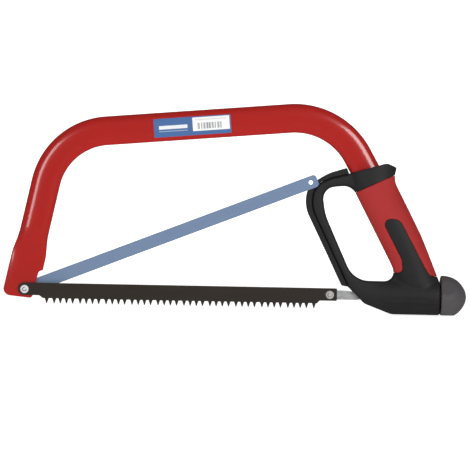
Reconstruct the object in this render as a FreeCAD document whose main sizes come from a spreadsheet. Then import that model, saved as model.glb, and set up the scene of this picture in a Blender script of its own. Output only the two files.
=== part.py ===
import FreeCAD, Part
import Sketcher
import math
import os
from FreeCAD import Placement, Rotation, Vector

# Bow saw: a bent oval tube, a closed D handle, two blades and a knob that draws the wood blade tight.
# Lengths are in millimetres. Every piece is drawn from the front blade peg, with +X towards the handle,
# -Y to the front and +Z up, and is then placed so that the origin lies on the ground under the middle.

doc = FreeCAD.newDocument("bow_saw")
sheet = doc.addObject("Spreadsheet::Sheet", "sizes")

drivingSizes = [
    ("middle", 206.465, "front peg to the middle of the saw"),
    ("ground", 18.0, "blade line above the ground"),
    ("blade_centres", 300.0, "hole to hole of both blades"),
    ("tube_depth", 28.5, "oval tube, in the plane of the bow"),
    ("tube_width", 13.0, "oval tube, across the bow"),
    ("tube_round", 5.5, "outer radius of the tube's edges"),
    ("tube_wall", 1.5, "wall of the tube"),
    ("arm_lean", 12.15, "front arm from the vertical, degrees"),
    ("top_rise", 4.96, "top of the bow from the level, degrees"),
    ("grip_lean", 28.99, "rear arm from the vertical, degrees"),
    ("front_bend", 65.5, "radius of the front bend"),
    ("rear_bend", 70.0, "radius of the rear bend"),
    ("toe_width", 34.0, "width of the flattened toe"),
    ("toe_thick", 3.0, "two walls of the tube, pressed flat"),
    ("press_top", 54.0, "height where the tube starts to flatten"),
    ("press_end", 32.0, "height where the tube is flat"),
    ("wood_thick", 0.9, "thickness of the wood blade"),
    ("wood_hole", 4.05, "radius of the wood blade's front hole"),
    ("rear_hole", 4.5, "radius of the wood blade's rear hole, larger to hook on"),
    ("seat_radius", 4.0, "radius of the peg's seat for the wood blade"),
    ("rear_seat_radius", 3.9, "radius of the rear peg's seat"),
    ("tip_radius", 1.9, "radius of the peg's tip for a metal blade"),
    ("seat_top", 2.9, "front of the peg's seat"),
    ("tip_top", 5.5, "front of the peg's tip"),
    ("spare_width", 12.5, "width of the metal blade"),
    ("spare_thick", 0.65, "thickness of the metal blade"),
    ("spare_hole", 2.15, "radius of the metal blade's holes"),
    ("spare_rise", 21.5, "stored metal blade from the level, degrees"),
    ("spare_tilt", 2.1, "stored metal blade towards the front, degrees"),
    ("spare_back", 2.6, "stored metal blade behind the toe's middle"),
    ("bar_thick", 3.0, "thickness of the draw bar"),
    ("bar_depth", 9.0, "depth of the draw bar"),
    ("rod_radius", 3.0, "radius of the threaded rod"),
    ("guard_thick", 14.0, "thickness of the guard"),
    ("grip_half", 15.0, "half width of the grip across the saw"),
    ("skin", 1.8, "thickness of the soft grip"),
    ("base_end", 407.5, "end face of the handle"),
    ("knob_face", 408.3, "front face of the knob"),
    ("knob_end", 433.8, "rear end of the knob"),
    ("knob_lobe", 21.0, "reach of the knob's lobes"),
    ("knob_flat", 18.0, "reach of the knob's flats"),
    ("screw_radius", 1.5, "radius of a handle screw"),
    ("screw_head", 3.0, "radius of a handle screw's head"),
    ("fit", 0.05, "radial clearance of a running fit"),
]


def fillSheet():
    for row, (alias, value, note) in enumerate(drivingSizes, start=1):
        sheet.set(f"A{row}", note)
        sheet.set(f"B{row}", str(value))
        sheet.setAlias(f"B{row}", alias)
    doc.recompute()


def size(alias):
    return float(sheet.get(alias))


def bind(thing, rules):
    for name, rule in rules.items():
        thing.setExpression(name, rule)


def seat(piece, label):
    # name a finished piece and move it from the peg's frame to the saw's own
    piece.Label = label
    bind(piece, {"Placement.Base.x": "-sizes.middle", "Placement.Base.z": "sizes.ground"})
    finished.append(piece)


# ---- sketches and simple solids ----------------------------------------------------------------

def newBody(name):
    return doc.addObject("PartDesign::Body", name)


def newSketch(body, name, plane, offset=Placement()):
    sketch = body.newObject("Sketcher::SketchObject", name)
    origin = next(item for item in body.Origin.OriginFeatures if item.Role == plane)
    sketch.AttachmentSupport = (origin, [""])
    sketch.MapMode = "FlatFace"
    sketch.AttachmentOffset = offset
    return sketch


def roundedEdges(corners):
    # a closed outline of (x, y, radius) corners: straight runs joined by tangent arcs, in order
    turns = []
    for index, (x, y, radius) in enumerate(corners):
        here = Vector(x, y, 0)
        before = (Vector(*corners[index - 1][:2], 0) - here).normalize()
        after = (Vector(*corners[(index + 1) % len(corners)][:2], 0) - here).normalize()
        half = before.getAngle(after) / 2
        if radius == 0:
            turns.append((here, None, here))
            continue
        reach = radius / math.tan(half)
        middle = here + (before + after).normalize() * (radius / math.sin(half) - radius)
        turns.append((here + before * reach, middle, here + after * reach))
    edges = []
    for index, (start, middle, end) in enumerate(turns):
        if middle is not None:
            edges.append(Part.Arc(start, middle, end))
        following = turns[(index + 1) % len(turns)][0]
        here, there = Vector(*corners[index][:2], 0), Vector(*corners[(index + 1) % len(corners)][:2], 0)
        if (following - end).dot(there - here) < -tiny:
            raise ValueError(f"the arcs at {corners[index]} and after it cross")
        if end.distanceToPoint(following) > tiny:
            edges.append(Part.LineSegment(end, following))
    return edges


def outlineSketch(body, name, corners, depth=0.0):
    # an outline in the plane of the bow, drawn as X and Z, depth mm in front of the middle plane
    sketch = newSketch(body, name, "XZ_Plane", Placement(Vector(0, 0, depth), Rotation()))
    sketch.addGeometry(roundedEdges(corners), False)
    return sketch


def circleSketch(body, name, plane, centre, radius, offset=Placement()):
    # a circle whose centre and radius are rules for the sheet
    sketch = newSketch(body, name, plane, offset)
    sketch.addGeometry(Part.Circle(Vector(1, 1, 0), Vector(0, 0, 1), 1), False)
    constraints = [("DistanceX", centre[0]), ("DistanceY", centre[1])]
    for index, (kind, rule) in enumerate(constraints):
        sketch.addConstraint(Sketcher.Constraint(kind, -1, 1, 0, 3, 1.0))
        sketch.setExpression(f"Constraints[{index}]", rule)
    sketch.addConstraint(Sketcher.Constraint("Radius", 0, 1.0))
    sketch.setExpression("Constraints[2]", radius)
    return sketch


def pad(body, sketch, length, both=False, back=False):
    feature = body.newObject("PartDesign::Pad", sketch.Name + "_pad")
    feature.Profile = sketch
    feature.SideType = "Symmetric" if both else "One side"
    feature.Reversed = back
    bind(feature, {"Length": length})
    sketch.Visibility = False
    return feature


def pocketThrough(body, sketch):
    feature = body.newObject("PartDesign::Pocket", sketch.Name + "_cut")
    feature.Profile = sketch
    feature.SideType = "Symmetric"
    feature.Length = throughLength
    return feature


def cylinder(name, axis, radius, length, base):
    # a cylinder along axis from its base; all sizes and places are rules for the sheet
    thing = doc.addObject("Part::Cylinder", name)
    turns = {"X": Rotation(Vector(0, 1, 0), 90), "front": Rotation(Vector(1, 0, 0), 90)}
    thing.Placement = Placement(Vector(), turns[axis])
    bind(thing, {"Radius": radius, "Height": length})
    for letter, rule in zip("xyz", base):
        bind(thing, {f"Placement.Base.{letter}": str(rule)})
    return thing


def block(name, low, high):
    # a box between two corners of plain numbers, used to part and to cut
    thing = doc.addObject("Part::Box", name)
    thing.Length, thing.Width, thing.Height = [top - bottom for bottom, top in zip(low, high)]
    thing.Placement.Base = Vector(*low)
    return thing


def fused(name, shapes):
    thing = doc.addObject("Part::MultiFuse", name)
    thing.Shapes = shapes
    return thing


def cut(name, base, tool):
    thing = doc.addObject("Part::Cut", name)
    thing.Base = base
    thing.Tool = tool
    return thing


def common(name, base, tool):
    thing = doc.addObject("Part::Common", name)
    thing.Base = base
    thing.Tool = tool
    return thing


throughLength = 80.0      # more than the widest piece
tiny = 1e-6               # two points this close are one
finished = []


# ---- bow ---------------------------------------------------------------------------------------

armFoot = -3.75           # where the front arm's middle line meets the blade line
topHeight = 150.25        # where the top's middle line passes over the front peg
tubeEnd = 50.0            # height of the tube's lower end inside the grip
gripPoint = (327.5, 132.0)    # a point on the rear arm's middle line
pressedGap = 0.4          # what is left of the tube's hollow where its walls meet
pressedSeal = 3.0         # the hollow ends this far above the flat toe
roundShare = 0.45         # the most that an edge's radius may take of a thin section's width


def slope(alias):
    return math.tan(math.radians(size(alias)))


def armPoint(height):
    # middle of the front arm at a height above the blade line
    return Vector(height * slope("arm_lean") + armFoot, 0, height)


def gripMiddle(height):
    # middle of the rear arm, which runs on down inside the grip
    return Vector(gripPoint[0] + (gripPoint[1] - height) * slope("grip_lean"), 0, height)


def bowLine():
    # the tube's middle line: front arm, bend, top, bend and the arm inside the grip
    rise, lean, back = slope("top_rise"), slope("arm_lean"), slope("grip_lean")
    frontX = (topHeight * lean + armFoot) / (1 - rise * lean)
    rearX = (gripPoint[0] + (gripPoint[1] - topHeight) * back) / (1 + rise * back)
    start = armPoint(size("press_top"))
    end = gripMiddle(tubeEnd)
    front = (frontX, topHeight + rise * frontX, size("front_bend"))
    rear = (rearX, topHeight + rise * rearX, size("rear_bend"))
    return [(start.x, start.z, 0), front, rear, (end.x, end.z, 0)]


def ovalSketch(body, name, centre, lean, depth, width):
    # a flat-sided oval square to a line that leans by so many degrees
    sketch = newSketch(body, name, "XY_Plane", Placement(centre, Rotation(Vector(0, 1, 0), lean)))
    x, y = depth / 2, width / 2
    r = min(size("tube_round") - (size("tube_width") - width) / 2, roundShare * width)
    if r <= 0:
        r = roundShare * width
    sketch.addGeometry(roundedEdges([(x, -y, r), (x, y, r), (-x, y, r), (-x, -y, r)]), False)
    return sketch


def sweepAndPress(body, kind, name, inset, flatDepth, flatWidth, flatHeight):
    # the long bent run of the tube and the stretch where it is pressed flat, or the hollow of both
    lean = size("arm_lean")
    top = armPoint(size("press_top"))
    depth, width = size("tube_depth") - 2 * inset, size("tube_width") - 2 * inset
    line = newSketch(body, name + "_line", "XZ_Plane")
    line.addGeometry(roundedEdges(bowLine())[:-1], False)
    pipe = body.newObject(f"PartDesign::{kind}Pipe", name + "_run")
    pipe.Profile = ovalSketch(body, name + "_oval", top, lean, depth, width)
    pipe.Spine = (line, [f"Edge{number}" for number in range(1, 6)])
    press = body.newObject(f"PartDesign::{kind}Loft", name + "_press")
    press.Profile = ovalSketch(body, name + "_round", top, lean, depth, width)
    flat = ovalSketch(body, name + "_flat", armPoint(flatHeight), lean, flatDepth, flatWidth)
    press.Sections = [flat]


def bowTube():
    body = newBody("tube_body")
    width, thick, wall = size("toe_width"), size("toe_thick"), size("tube_wall")
    sweepAndPress(body, "Additive", "outer", 0, width, thick, size("press_end"))
    toe = [(-13.4, 36.0, 0), (19.9, 28.9, 0), (18.1, 18.6, 1), (13.4, 18.6, 4.5), (10.6, 5.0, 8),
           (7.2, -8.7, 3), (-22.35, -5.65, 7)]
    pad(body, outlineSketch(body, "toe", toe), "sizes.toe_thick", both=True)
    sealed = size("press_end") + pressedSeal
    sweepAndPress(body, "Subtractive", "inner", wall, width - thick, pressedGap, sealed)
    pocketThrough(body, circleSketch(body, "peg_hole", "XZ_Plane", ("0", "0"), "sizes.tip_radius"))
    lock = gripMiddle(lockHeight)
    centre = (str(lock.x), str(lock.z))
    pocketThrough(body, circleSketch(body, "lock_hole", "XZ_Plane", centre, str(lockRadius)))
    seat(body, "bow_tube")


def tubePlug():
    # closes the tube's lower end: a tongue inside the tube and a flange under it
    body = newBody("plug_body")
    wall, lean = size("tube_wall"), -size("grip_lean")
    depth, width = size("tube_depth"), size("tube_width")
    end = gripMiddle(tubeEnd)
    tongue = ovalSketch(body, "tongue", end, lean, depth - 2 * wall, width - 2 * wall)
    pad(body, tongue, str(plugTongue))
    pad(body, ovalSketch(body, "flange", end, lean, depth, width), str(plugFlange), back=True)
    seat(body, "tube_plug")


def lockPin():
    # a roll pin through the tube and both halves of the handle, hidden under the soft grip
    lock = gripMiddle(lockHeight)
    base = (lock.x, lockReach, lock.z)
    outside = cylinder("lock_outside", "front", str(lockRadius), str(2 * lockReach), base)
    inside = cylinder("lock_inside", "front", str(lockRadius - lockWall), str(2 * lockReach), base)
    seat(cut("lock_pin", outside, inside), "tube_lock_pin")


def frameLabel():
    # a film on the front of the top run, wrapped a little way round the tube's edges
    rise = size("top_rise")
    along = Vector(math.cos(math.radians(rise)), 0, math.sin(math.radians(rise)))
    up = Vector(-along.z, 0, along.x)
    middle = Vector(labelMiddle, 0, topHeight + labelMiddle * slope("top_rise"))
    start = middle - along * labelLength / 2
    sleeves = []
    for name, film in [("film_outside", labelFilm), ("film_inside", 0)]:
        body = newBody(name)
        depth, width = size("tube_depth") + 2 * film, size("tube_width") + 2 * film
        pad(body, ovalSketch(body, name + "_oval", start, 90 - rise, depth, width), str(labelLength))
        sleeves.append(body)
    window = block("label_window", (0, 0, 0), (labelLength, labelWrap, labelHeight))
    corner = start - up * (labelHeight / 2 + labelDrop) - Vector(0, size("tube_width") / 2 + 1, 0)
    window.Placement = Placement(corner, Rotation(Vector(0, 1, 0), -rise))
    seat(common("label_film", cut("label_sleeve", *sleeves), window), "frame_label")


lockHeight = 84.0         # the roll pin crosses the rear arm here
lockRadius = 2.0
lockWall = 0.6
lockReach = 10.0          # the roll pin's half length
plugFlange = 2.0
plugTongue = 8.0          # length of the plug inside the tube
labelMiddle = 161.9
labelLength = 75.9
labelHeight = 18.3
labelDrop = 1.2           # the label's middle lies this far below the tube's
labelFilm = 0.2
labelWrap = 4.0           # reach of the film across the tube


# ---- pegs and blades ---------------------------------------------------------------------------

def peg(name, x, seatRadius, foot, footRadius):
    # a stepped stud: foot at the back, shank in its plate, seat for the wood blade, tip in front
    plate = "sizes.toe_thick / 2"
    back = cylinder(name + "_foot", "front", footRadius, foot, (x, f"{plate} + {foot}", 0))
    shank = cylinder(name + "_shank", "front", "sizes.tip_radius", "sizes.toe_thick", (x, plate, 0))
    seatLength = f"sizes.seat_top - {plate}"
    step = cylinder(name + "_seat", "front", seatRadius, seatLength, (x, f"-{plate}", 0))
    tipLength = "sizes.tip_top - sizes.seat_top"
    tip = cylinder(name + "_tip", "front", "sizes.tip_radius", tipLength, (x, "-sizes.seat_top", 0))
    seat(fused(name + "_stud", [back, shank, step, tip]), name)


def bothPegs():
    peg("front_peg", "0", "sizes.seat_radius", str(frontStub), "sizes.tip_radius")
    peg("rear_peg", "sizes.blade_centres", "sizes.rear_seat_radius", str(rearFoot), str(rearFootRadius))


def toothedEdge():
    # the wood blade's lower edge from the front to the rear: a lone tooth, ten groups, a lone tooth
    places = [firstTooth]
    for group in range(toothGroups):
        start = groupStart + group * groupPitch
        places += [start + tooth * toothPitch for tooth in range(4)]
    places.append(groupStart + toothGroups * groupPitch)
    edge = []
    for x in places:
        edge += [(x - toothRoot, gullet, gulletRound), (x - toothTip, toothReach, 0)]
        edge += [(x + toothTip, toothReach, 0), (x + toothRoot, gullet, gulletRound)]
    return edge


def woodBlade():
    body = newBody("wood_body")
    edge = toothedEdge()
    front = [(-6.4, bladeTop, 6.0), (-6.4, tangBottom, 6.0), (14.6, tangBottom, 3), (18.0, gullet, 0)]
    last = edge[-1][0]
    rear = [(last + 1.2, gullet, 0), (last + 3.6, tangBottom, 2), (306.8, tangBottom, 1), (306.8, bladeTop, 1)]
    sketch = outlineSketch(body, "wood_outline", front + edge + rear, bladeBack)
    pad(body, sketch, "sizes.wood_thick")
    pocketThrough(body, circleSketch(body, "wood_front", "XZ_Plane", ("0", "0"), "sizes.wood_hole"))
    behind = f"sizes.blade_centres - (sizes.rear_hole - sizes.rear_seat_radius - {hookFit})"
    pocketThrough(body, circleSketch(body, "wood_rear", "XZ_Plane", (behind, "0"), "sizes.rear_hole"))
    seat(body, "wood_blade")


def spareBlade():
    # drawn level at the peg, then raised and tilted: it passes behind the toe and before the guard
    body = newBody("spare_body")
    half = size("spare_width") / 2
    near, far = -spareEnd, size("blade_centres") + spareEnd
    corners = [(near, -half), (far, -half), (far, half), (near, half)]
    sketch = outlineSketch(body, "spare_outline", [(x, z, spareRound) for x, z in corners])
    pad(body, sketch, "sizes.spare_thick", both=True)
    for name, x in [("spare_near", "0"), ("spare_far", "sizes.blade_centres")]:
        pocketThrough(body, circleSketch(body, name, "XZ_Plane", (x, "0"), "sizes.spare_hole"))
    raised = Rotation(Vector(0, 1, 0), -size("spare_rise"))
    tilted = Rotation(Vector(0, 0, 1), -size("spare_tilt"))
    body.Placement.Rotation = raised.multiply(tilted)
    bind(body, {"Placement.Base.y": "sizes.spare_back"})
    seat(body, "spare_blade")


frontStub = 2.6           # the front peg stands out this far at the back, where the metal blade is kept
rearFoot = 0.8            # thickness of the rear peg's head behind the draw bar
rearFootRadius = 3.2
bladeBack = 1.8           # back of the wood blade, in front of the middle plane
bladeTop = 6.5
tangBottom = -5.8         # lower edge of the blade's plain ends
hookFit = 0.1             # play between the rear peg and its hole once the blade is tight
spareEnd = 7.0            # metal past the holes of the spare blade
spareRound = 3.5          # radius of its corners
firstTooth = 22.0
groupStart = 29.4
groupPitch = 25.5
toothGroups = 10
toothPitch = 6.05
toothRoot = 1.9           # half the tooth's width at the gullet
toothTip = 0.35
gullet = -8.5
toothReach = -13.4
gulletRound = 0.8


# ---- draw bar and knob -------------------------------------------------------------------------

def drawBar():
    body = newBody("bar_body")
    half, tail = size("bar_depth") / 2, tailDepth / 2
    corners = [(293.6, half, 4.4), (293.6, -half, 4.4), (326, -half, 4), (331, -tail, 4),
               (barEnd, -tail, 0.5), (barEnd, tail, 0.5), (322, tail, 4), (317, half, 4)]
    pad(body, outlineSketch(body, "bar_outline", corners), "sizes.bar_thick", both=True)
    for name, x, radius in [("peg_seat", "sizes.blade_centres", "sizes.tip_radius"),
                            ("rivet_seat", str(rivetX), str(rivetRadius))]:
        pocketThrough(body, circleSketch(body, name, "XZ_Plane", (x, "0"), radius))
    seat(body, "draw_bar")


def tensionRod():
    # a fork over the draw bar's tail, then the threaded length into the knob
    fork = cylinder("rod_fork", "X", str(forkRadius), str(forkLength), (forkX, 0, 0))
    shank = cylinder("rod_shank", "X", "sizes.rod_radius", str(rodEnd - forkX - 1), (forkX + 1, 0, 0))
    thick = size("bar_thick") / 2
    slot = block("rod_slot", (forkX - 1, -thick, -forkRadius - 1), (barEnd + 0.5, thick, forkRadius + 1))
    hole = cylinder("rod_hole", "front", str(rivetRadius), str(4 * forkRadius), (rivetX, 2 * forkRadius, 0))
    blank = fused("rod_blank", [fork, shank])
    seat(cut("rod", blank, fused("rod_cuts", [slot, hole])), "tension_rod")
    pin = cylinder("rivet_pin", "front", str(rivetRadius), str(2 * forkRadius), (rivetX, forkRadius, 0))
    headBase, headLength = forkRadius + rivetHead, rivetHead + rivetSink
    heads = fused("rivet_heads", [
        cylinder(name, "front", str(rivetHeadRadius), str(headLength), (rivetX, base, 0))
        for name, base in [("rivet_back", headBase), ("rivet_front", rivetSink - forkRadius)]])
    waist = cylinder("rivet_waist", "X", str(forkRadius), "8", (rivetX - 4, 0, 0))
    seat(fused("rivet", [pin, cut("rivet_caps", heads, waist)]), "rod_rivet")


def ring(name, outer, inner, length, x):
    # a plain ring about the blade line
    body = cylinder(name + "_outside", "X", outer, length, (x, 0, 0))
    bore = cylinder(name + "_inside", "X", inner, length, (x, 0, 0))
    seat(cut(name + "_ring", body, bore), name)


def guidePlate():
    # keeps the draw bar from turning with the knob
    plate = block("guide_plate", *guideCorners)
    y, z = size("bar_thick") / 2 + size("fit"), tailDepth / 2 + size("fit")
    slot = block("guide_slot", (guideX - 1, -y, -z), (guideX + guideThick + 1, y, z))
    seat(cut("guide", plate, slot), "bar_guide")


def knobSolids():
    # a turned dome, trimmed by three flats to leave three lobes
    face, end, lobe = size("knob_face"), size("knob_end"), size("knob_lobe")
    body = newBody("knob_dome")
    sketch = newSketch(body, "knob_profile", "XZ_Plane")
    rim = Vector(face + knobRimLength, lobe - knobRimDrop, 0)
    edges = [Part.LineSegment(Vector(face, 0, 0), Vector(face, lobe, 0)),
             Part.LineSegment(Vector(face, lobe, 0), rim),
             Part.Arc(rim, Vector(*knobShoulder, 0), Vector(end, 0, 0)),
             Part.LineSegment(Vector(end, 0, 0), Vector(face, 0, 0))]
    sketch.addGeometry(edges, False)
    turned = body.newObject("PartDesign::Revolution", "knob_turned")
    turned.Profile = sketch
    turned.ReferenceAxis = (sketch, ["H_Axis"])
    turned.Angle = 360
    flats = newBody("knob_flats")
    flat = size("knob_flat")
    corner = 2 * flat
    tips = [(corner * math.cos(math.radians(a)), corner * math.sin(math.radians(a)), corner - lobe)
            for a in (90, 210, 330)]
    outline = newSketch(flats, "knob_lobes", "YZ_Plane", Placement(Vector(0, 0, face - 1), Rotation()))
    outline.addGeometry(roundedEdges(tips), False)
    pad(flats, outline, str(end - face + 2))
    return common("knob_blank", body, flats)


def nutHexagon(name, length):
    thing = doc.addObject("Part::Prism", name)
    thing.Polygon = 6
    thing.Circumradius = nutCorner
    thing.Height = length
    thing.Placement = Placement(Vector(nutX, 0, 0), Rotation(Vector(0, 1, 0), 90))
    return thing


def knob():
    face = size("knob_face")
    boreLength = rodEnd + rodClear - face
    bore = cylinder("knob_bore", "X", f"sizes.rod_radius + {rodPlay}", str(boreLength), (face, 0, 0))
    recess = cylinder("knob_recess", "X", str(ringOuter), str(ringThick), (face, 0, 0))
    cuts = fused("knob_cuts", [bore, recess, nutHexagon("nut_pocket", nutLength)])
    seat(cut("knob_shell", knobSolids(), cuts), "knob_body")
    thread = cylinder("nut_thread", "X", "sizes.rod_radius + sizes.fit", str(nutLength), (nutX, 0, 0))
    seat(cut("nut", nutHexagon("nut_blank", nutLength), thread), "knob_nut")
    ring("knob_ring", str(ringOuter), str(ringInner), str(ringThick), "sizes.knob_face")
    ring("thrust_washer", str(washerOuter), str(washerInner), str(washerThick), washerFace)
    ring("rod_bush", str(bushRadius), "sizes.rod_radius + sizes.fit", str(bushLength), str(bushX))


tailDepth = 7.2           # the draw bar's tail is narrower than its front
barEnd = 352.0
forkX = 341.0
forkLength = 15.0
forkRadius = 4.5
rivetX = 346.5
rivetRadius = 1.5
rivetHead = 1.0           # how far a rivet head stands proud of the fork
rivetHeadRadius = 2.4
rivetSink = 0.8           # how far it follows the fork's round side
rodEnd = 424.0
guideX = 334.5
guideThick = 2.0
guideCorners = ((guideX, -6.0, -7.5), (guideX + guideThick, 6.0, 7.5))
nutX = 411.5
nutLength = 8.0
nutCorner = 5.8
ringThick = 1.2
knobRimLength = 5.0       # the nearly straight rim of the knob, and how much it narrows
knobRimDrop = 0.3
knobShoulder = (426.0, 15.4)    # a point that the dome passes through
rodClear = 3.0            # room past the rod's end inside the knob
rodPlay = 0.4             # room round the rod in the knob and the handle
bushX = 392.0
bushLength = 12.0
bushRadius = 5.0
ringOuter = 9.0
ringInner = 4.0
washerOuter = 8.9
washerInner = 3.3
washerThick = 2.0
washerFace = "sizes.base_end - 1.5"    # the washer is sunk in the handle's end face


# ---- handle ------------------------------------------------------------------------------------

def slab(name, corners, thick):
    # an outline in the plane of the bow, thick mm across, half to each side
    body = newBody(name)
    pad(body, outlineSketch(body, name + "_outline", corners), str(thick), both=True)
    return body


def loftedOvals(name, stations, turn):
    # a loft through ellipses: each station is (centre, half depth, half width)
    rings = []
    for number, (centre, along, across) in enumerate(stations):
        oval = doc.addObject("Part::Ellipse", f"{name}_{number}")
        oval.MajorRadius = max(along, across)
        oval.MinorRadius = min(along, across)
        quarter = Rotation(Vector(0, 0, 1), 0 if along >= across else 90)
        oval.Placement = Placement(centre, turn.multiply(quarter))
        rings.append(oval)
    loft = doc.addObject("Part::Loft", name)
    loft.Sections = rings
    loft.Solid = True
    loft.MaxDegree = 3
    return loft


def gripStations(inset):
    # level slices of the grip and collar: height, middle, half depth, half width
    half = size("grip_half")
    slices = [(16, 384.9, 22.6, half), (36, 377.6, 22.0, half + 0.4), (60, 366.2, 22.6, half + 0.8),
              (84, 353.9, 23.0, half + 0.4), (102, 344.4, 23.2, half - 0.4), (116, 339.8, 23.6, half - 1),
              (131, 339.4, 25.4, half - 1.2)]
    return [(Vector(middle, 0, height), depth - deeper * inset, width - inset)
            for height, middle, depth, width in slices]


def baseStations():
    # upright slices of the base, from the nose to the knob: place, middle, half height, half width
    slices = [(326, 4.0, 13.5, 7.4), (345, -0.5, 18.0, 9.0), (366, -1.0, 19.5, 13.2), (388, -1.2, 19.6, 16.4),
              (size("base_end"), -1.2, 19.4, 17.6)]
    return [(Vector(x, 0, middle), height, width) for x, middle, height, width in slices]


def handleBlank():
    # guard plate, grip and base in one, trimmed to the side outline, with the hand hole cut
    level = Rotation()
    upright = Rotation(Vector(0, 1, 0), 90)
    plate = slab("guard_plate", guardOutline, size("guard_thick"))
    grip = loftedOvals("grip_loft", gripStations(0), level)
    base = loftedOvals("base_loft", baseStations(), upright)
    side = slab("side_trim", sideOutline, throughLength)
    stout = common("stout", fused("stout_blank", [grip, base]), side)
    hole = slab("hand_hole", handHole, throughLength)
    return cut("handle_blank", fused("handle_union", [plate, stout]), hole)


def softGrip(blank):
    # the skin between the grip's outside and a smaller core, with a window for the black tongue
    core = loftedOvals("core_loft", gripStations(size("skin")), Rotation())
    zone = slab("skin_zone", skinOutline, throughLength)
    tongue = slab("tongue", tongueOutline, throughLength)
    skin = cut("skin_ring", common("skin_part", blank, zone), fused("skin_cuts", [core, tongue]))
    seat(skin, "soft_grip")
    return skin


def screwPlaces():
    return [(303.5, 111.0), (316.8, 18.5), (357.0, 120.5), (378.5, 29.0), (357.0, -10.5), (398.0, -12.0)]


def handleScrews():
    screws = []
    pilots = []
    neck, wellRadius = screwTop - headThick, f"sizes.screw_head + {wellPlay}"
    for number, (x, z) in enumerate(screwPlaces()):
        head = cylinder(f"head_{number}", "front", "sizes.screw_head", str(headThick), (x, screwTop, z))
        shank = cylinder(f"shank_{number}", "front", "sizes.screw_radius", str(screwLength), (x, neck, z))
        screws.append(fused(f"screw_{number}", [head, shank]))
        well = cylinder(f"well_{number}", "front", wellRadius, str(wellLength), (x, neck + wellLength, z))
        hole = cylinder(f"pilot_{number}", "front", "sizes.screw_radius", str(screwLength), (x, neck, z))
        pilots += [well, hole]
    group = doc.addObject("Part::Compound", "screws")
    group.Links = screws
    seat(group, "handle_screws")
    return pilots


def handleHollows():
    # room for the tube, its plug, the roll pin, the draw bar, the rod and what guides them
    body = newBody("tube_channel")
    lean = size("grip_lean")
    down = Vector(math.sin(math.radians(lean)), 0, -math.cos(math.radians(lean)))
    foot = gripMiddle(tubeEnd) + down * plugFlange
    depth, width = size("tube_depth") + tubePlay, size("tube_width") + tubePlay
    oval = ovalSketch(body, "channel", foot, -lean, depth, width)
    pad(body, oval, str(channelLength))
    lock = gripMiddle(lockHeight)
    pin = cylinder("lock_room", "front", str(lockRadius), str(2 * lockReach), (lock.x, lockReach, lock.z))
    z, y = size("bar_depth") / 2 + barPlay, size("bar_thick") / 2 + barPlay
    slot = block("bar_room", (310, -y, -z), (forkX, y, z))
    plate = block("guide_room", *guideCorners)
    fork = cylinder("fork_room", "X", str(forkRadius + forkPlay), str(forkLength + 4), (forkX - 2.5, 0, 0))
    bore = cylinder("rod_room", "X", f"sizes.rod_radius + {rodPlay}", str(throughLength), (forkX, 0, 0))
    bush = cylinder("bush_room", "X", str(bushRadius), str(bushLength), (bushX, 0, 0))
    washer = cylinder("washer_room", "X", str(washerOuter), str(2 * washerThick), (washerFace, 0, 0))
    return [body, pin, slot, plate, fork, bore, bush, washer]


def handle():
    blank = handleBlank()
    skin = softGrip(blank)
    rooms = fused("handle_rooms", handleHollows() + handleScrews())
    solid = cut("handle_hard", cut("handle_cored", blank, rooms), handSkin(skin))
    for name, low, high in [("handle_front", -40, 0), ("handle_back", 0, 40)]:
        side = block(name + "_side", (250, low, -30), (450, high, 150))
        seat(common(name + "_half", solid, side), name)


def handSkin(skin):
    # the skin where it was made, before its piece is moved to the saw's own frame
    copy = doc.addObject("Part::Cut", "skin_here")
    copy.Base = skin.Base
    copy.Tool = skin.Tool
    return copy


def guardBumper():
    seat(slab("bumper_body", bumperOutline, size("guard_thick")), "guard_bumper")


headThick = 2.0
screwLength = 9.5         # threaded length under the head
wellLength = 30.0         # from the head's seat to past the handle's back
wellPlay = 0.4
channelLength = 100.0     # from the plug to past the collar
tubePlay = 0.1            # room round the tube in the handle, in all
barPlay = 0.3             # room round the draw bar in the handle
forkPlay = 1.9            # room round the fork and its rivet heads
screwTop = 5.0            # the screw heads' back face, behind the middle plane
deeper = 1.6              # the skin is this much thicker at the grip's front and back edges
creaseLine = [(316.6, 119.2, 0), (299.5, 115.2, 40), (287.8, 110.2, 12), (281.6, 101.0, 14), (279.6, 86.0, 30),
              (317.2, 8.4, 0)]
guardOutline = creaseLine + [(330.5, -4.2, 8), (345, -9, 0), (400, -9, 0), (384, 20, 0), (372, 50, 0),
                             (340, 117, 0)]
bumperOutline = creaseLine + [(311.4, 9.4, 1), (272.9, 88.0, 34), (276.2, 102.8, 11), (285.6, 112.9, 14),
                              (297.0, 119.6, 40), (314.2, 125.0, 1.5)]
handHole = [(290.0, 105.0, 12), (319.5, 107.8, 13), (361.9, 27.0, 10), (363.2, 14.4, 9), (323.0, 14.4, 24),
            (294.0, 78.5, 60)]
sideOutline = [(316.8, 119.5, 0), (345.0, 127.6, 0), (353.0, 130.2, 7), (363.4, 126.2, 1.2), (361.5, 119.0, 18),
               (361.8, 111.5, 16), (371.0, 94.2, 80), (388.6, 60.0, 200), (402.4, 26.5, 60), (407.5, 13.0, 0),
               (407.5, -18.0, 0), (360.0, -18.0, 12), (334.0, -8.0, 6), (328.5, -2.6, 3), (317.4, 8.4, 0),
               (300.0, 40.0, 0), (300.0, 112.0, 0)]
skinOutline = [(310.0, 94.5, 0), (340.0, 109.2, 90), (368.0, 122.0, 0), (420.0, 122.0, 0), (420.0, 19.8, 0),
               (402.0, 19.8, 0), (380.0, 22.8, 0), (340.0, 22.8, 0)]
tongueOutline = [(348.8, 75.3, 5), (366.3, 75.0, 9), (388.5, 34.0, 30), (396.5, 20.5, 12), (408.0, 17.0, 0),
                 (408.0, 5.0, 0), (364.6, 5.0, 0), (364.6, 21.5, 0), (370.6, 25.0, 4), (369.6, 36.0, 12)]


# ---- build, check and write --------------------------------------------------------------------

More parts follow.
